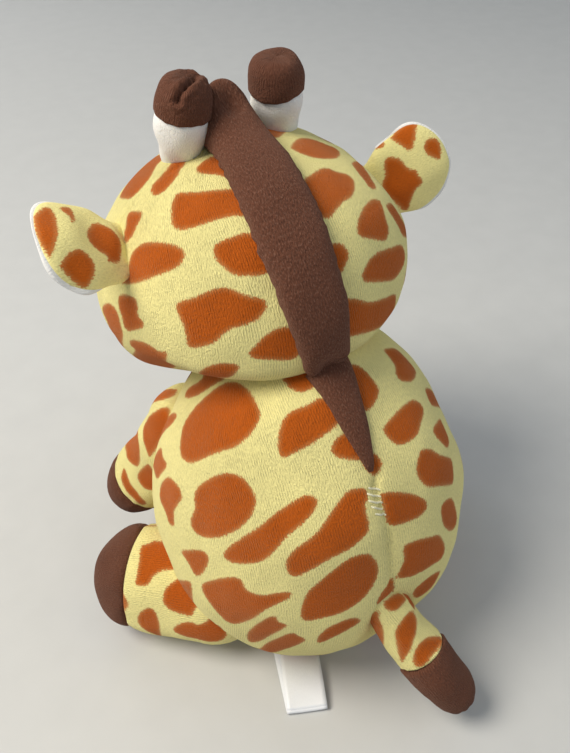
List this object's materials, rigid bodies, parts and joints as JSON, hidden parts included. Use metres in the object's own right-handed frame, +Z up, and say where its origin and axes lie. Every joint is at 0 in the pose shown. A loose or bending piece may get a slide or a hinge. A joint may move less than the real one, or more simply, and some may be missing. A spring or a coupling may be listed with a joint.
{
  "type": "plush giraffe",
  "caption": "Seated stuffed giraffe of short-pile spotted plush with a dark mane strip, padded horns, flap ears, stubby hoofed limbs and a tufted tail.",
  "frame": {"origin": "on the floor under the middle of the body, at the centre of its flat seat", "axes": "+Z up through the body, -Y the way the toy looks, +X towards the toy's own left side"},
  "size_m": [0.1622, 0.1839, 0.2024],
  "materials": {
    "yellow_plush": "short-pile knit plush, pale yellow with orange-brown spots",
    "cream_plush": "short-pile knit plush, cream",
    "brown_plush": "short-pile knit plush, dark purplish brown",
    "white_plush": "short-pile knit plush, off white",
    "fibre": "loose polyester fibre",
    "pellet_cloth": "thin nonwoven bag",
    "black_plastic": "glossy domed button",
    "clear_plastic": "moulded washer",
    "satin": "bare white satin ribbon"
  },
  "bodies": {
    "body": {"body_cover": "yellow_plush", "body_stuffing": "fibre", "pellet_bag": "pellet_cloth", "mane_back": "brown_plush", "label": "satin"},
    "head": {"head_cover": "yellow_plush", "head_stuffing": "fibre", "muzzle_cover": "cream_plush", "muzzle_stuffing": "fibre", "mane_head": "brown_plush", "eye_left": "black_plastic", "eye_washer_left": "clear_plastic", "horn_stalk_left": "white_plush", "horn_cap_left": "brown_plush", "horn_stuffing_left": "fibre", "eye_right": "black_plastic", "eye_washer_right": "clear_plastic", "horn_stalk_right": "white_plush", "horn_cap_right": "brown_plush", "horn_stuffing_right": "fibre"},
    "ear_left": {"ear_back_left": "yellow_plush", "ear_lining_left": "white_plush"},
    "ear_right": {"ear_back_right": "yellow_plush", "ear_lining_right": "white_plush"},
    "arm_left": {"arm_left_sleeve": "yellow_plush", "arm_left_hoof": "brown_plush", "arm_left_stuffing": "fibre"},
    "arm_right": {"arm_right_sleeve": "yellow_plush", "arm_right_hoof": "brown_plush", "arm_right_stuffing": "fibre"},
    "leg_left": {"leg_left_sleeve": "yellow_plush", "leg_left_hoof": "brown_plush", "leg_left_stuffing": "fibre"},
    "leg_right": {"leg_right_sleeve": "yellow_plush", "leg_right_hoof": "brown_plush", "leg_right_stuffing": "fibre"},
    "tail": {"tail_sleeve": "yellow_plush", "tail_tip": "brown_plush", "tail_stuffing": "fibre"}
  },
  "joints": [
    {"name": "head_nod", "type": "hinge", "parent": "body", "child": "head", "pos_m": [0, -0.017, 0.111], "axis": [1, 0, 0], "range_deg": [-4, 12], "stiffness_Nm_per_rad": 0.8},
    {"name": "ear_left_flap", "type": "hinge", "parent": "head", "child": "ear_left", "pos_m": [0.04468, -0.03388, 0.15999], "axis": [-0.099, -0.8639, 0.4939], "range_deg": [-22, 22], "stiffness_Nm_per_rad": 0.02},
    {"name": "ear_right_flap", "type": "hinge", "parent": "head", "child": "ear_right", "pos_m": [-0.04848, -0.0345, 0.1531], "axis": [-0.2665, 0.3185, -0.9097], "range_deg": [-22, 22], "stiffness_Nm_per_rad": 0.02},
    {"name": "arm_left_raise", "type": "hinge", "parent": "body", "child": "arm_left", "pos_m": [0.03137, -0.0348, 0.081], "axis": [-1, 0, 0], "range_deg": [0, 40], "stiffness_Nm_per_rad": 0.1},
    {"name": "arm_right_raise", "type": "hinge", "parent": "body", "child": "arm_right", "pos_m": [-0.03137, -0.0348, 0.081], "axis": [-1, 0, 0], "range_deg": [0, 40], "stiffness_Nm_per_rad": 0.1},
    {"name": "leg_left_lift", "type": "hinge", "parent": "body", "child": "leg_left", "pos_m": [0.03992, -0.00397, 0.0215], "axis": [-0.6691, -0.7431, 0], "range_deg": [0, 15], "stiffness_Nm_per_rad": 0.2},
    {"name": "leg_right_lift", "type": "hinge", "parent": "body", "child": "leg_right", "pos_m": [-0.03992, -0.00397, 0.0215], "axis": [-0.6691, 0.7431, 0], "range_deg": [0, 15], "stiffness_Nm_per_rad": 0.2},
    {"name": "tail_wag", "type": "hinge", "parent": "body", "child": "tail", "pos_m": [0, 0.04744, 0.05], "axis": [0, 0, 1], "range_deg": [-25, 25], "stiffness_Nm_per_rad": 0.05}
  ]
}
